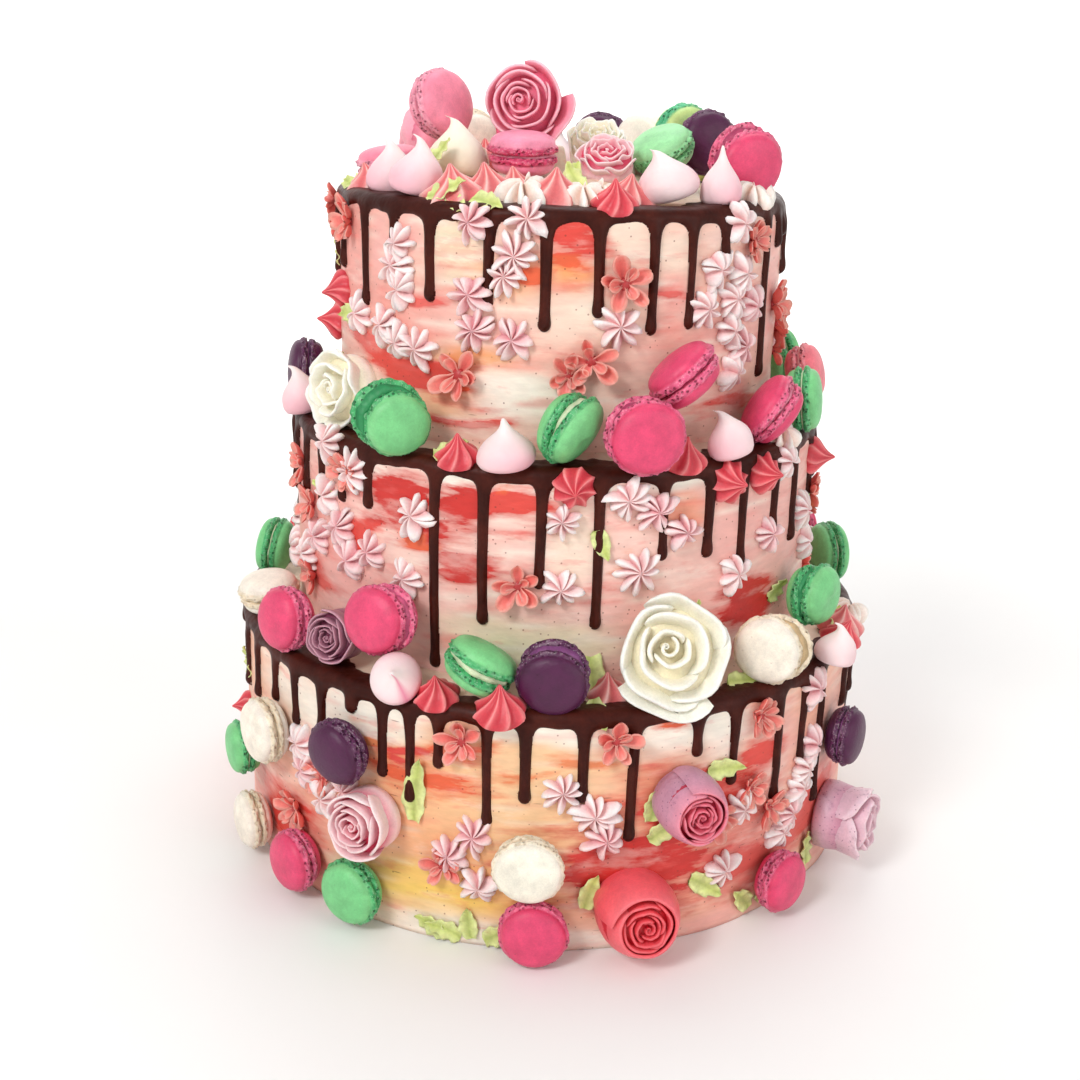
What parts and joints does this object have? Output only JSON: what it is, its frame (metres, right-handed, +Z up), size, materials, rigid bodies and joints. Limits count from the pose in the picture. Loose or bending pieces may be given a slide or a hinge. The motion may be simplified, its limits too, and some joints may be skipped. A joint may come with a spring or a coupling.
{
  "type": "wedding cake",
  "caption": "Three stacked round iced tiers with dripping chocolate rims, dressed with macarons, piped buttercream roses and meringue kisses.",
  "frame": {"origin": "middle of the bottom tier's flat base, on the surface that the cake stands on", "axes": "+Z up; -Y towards the viewer, the side of the cake that the picture shows; +X to the right"},
  "size_m": [0.3712, 0.4012, 0.4271],
  "materials": {
    "icing": "satin buttercream with chocolate drips",
    "macaron_coral": "matt, slightly porous",
    "macaron_cream": "matt, slightly porous",
    "macaron_green": "matt, slightly porous",
    "macaron_lime": "matt, slightly porous",
    "macaron_magenta": "matt, slightly porous",
    "macaron_mint": "matt, slightly porous",
    "macaron_purple": "matt, slightly porous",
    "macaron_rose": "matt, slightly porous",
    "meringue": "matt meringue",
    "rose_mauve": "satin buttercream",
    "rose_pink": "satin buttercream",
    "rose_red": "satin buttercream",
    "rose_white": "satin buttercream",
    "toppings": "mixed macarons, roses and meringues"
  },
  "bodies": {
    "root": {"bottom_group": "toppings", "bottom_kiss_1": "meringue", "bottom_kiss_2": "meringue", "bottom_macaron_cream_1": "macaron_cream", "bottom_macaron_cream_2": "macaron_cream", "bottom_macaron_green_1": "macaron_green", "bottom_macaron_green_2": "macaron_green", "bottom_macaron_green_3": "macaron_green", "bottom_macaron_magenta_1": "macaron_magenta", "bottom_macaron_magenta_2": "macaron_magenta", "bottom_macaron_purple": "macaron_purple", "bottom_rose_mauve": "rose_mauve", "bottom_rose_white": "rose_white", "middle_group": "toppings", "middle_kiss_1": "meringue", "middle_kiss_2": "meringue", "middle_kiss_3": "meringue", "middle_macaron_coral": "macaron_coral", "middle_macaron_green_1": "macaron_green", "middle_macaron_green_2": "macaron_green", "middle_macaron_green_3": "macaron_green", "middle_macaron_magenta_1": "macaron_magenta", "middle_macaron_magenta_2": "macaron_magenta", "middle_macaron_magenta_3": "macaron_magenta", "middle_macaron_purple": "macaron_purple", "middle_rose_white": "rose_white", "side_group": "toppings", "side_macaron_cream_1": "macaron_cream", "side_macaron_cream_2": "macaron_cream", "side_macaron_green_1": "macaron_green", "side_macaron_green_2": "macaron_green", "side_macaron_magenta_1": "macaron_magenta", "side_macaron_magenta_2": "macaron_magenta", "side_macaron_magenta_3": "macaron_magenta", "side_macaron_purple_1": "macaron_purple", "side_macaron_purple_2": "macaron_purple", "side_macaron_white": "macaron_cream", "side_rose_mauve": "rose_mauve", "side_rose_pale": "rose_pink", "side_rose_pink": "rose_pink", "side_rose_red": "rose_red", "tier_bottom": "icing", "tier_middle": "icing", "tier_top": "icing", "top_group": "toppings", "top_kiss_cream": "meringue", "top_kiss_pale_1": "meringue", "top_kiss_pale_2": "meringue", "top_kiss_pale_3": "meringue", "top_kiss_pale_4": "meringue", "top_macaron_flat": "macaron_rose", "top_macaron_lime": "macaron_lime", "top_macaron_lying": "macaron_rose", "top_macaron_magenta": "macaron_magenta", "top_macaron_mint": "macaron_mint", "top_macaron_purple": "macaron_purple", "top_macaron_rose": "macaron_rose", "top_rose_cream": "rose_white", "top_rose_pale": "rose_pink", "top_rose_pink": "rose_pink"}
  },
  "joints": []
}
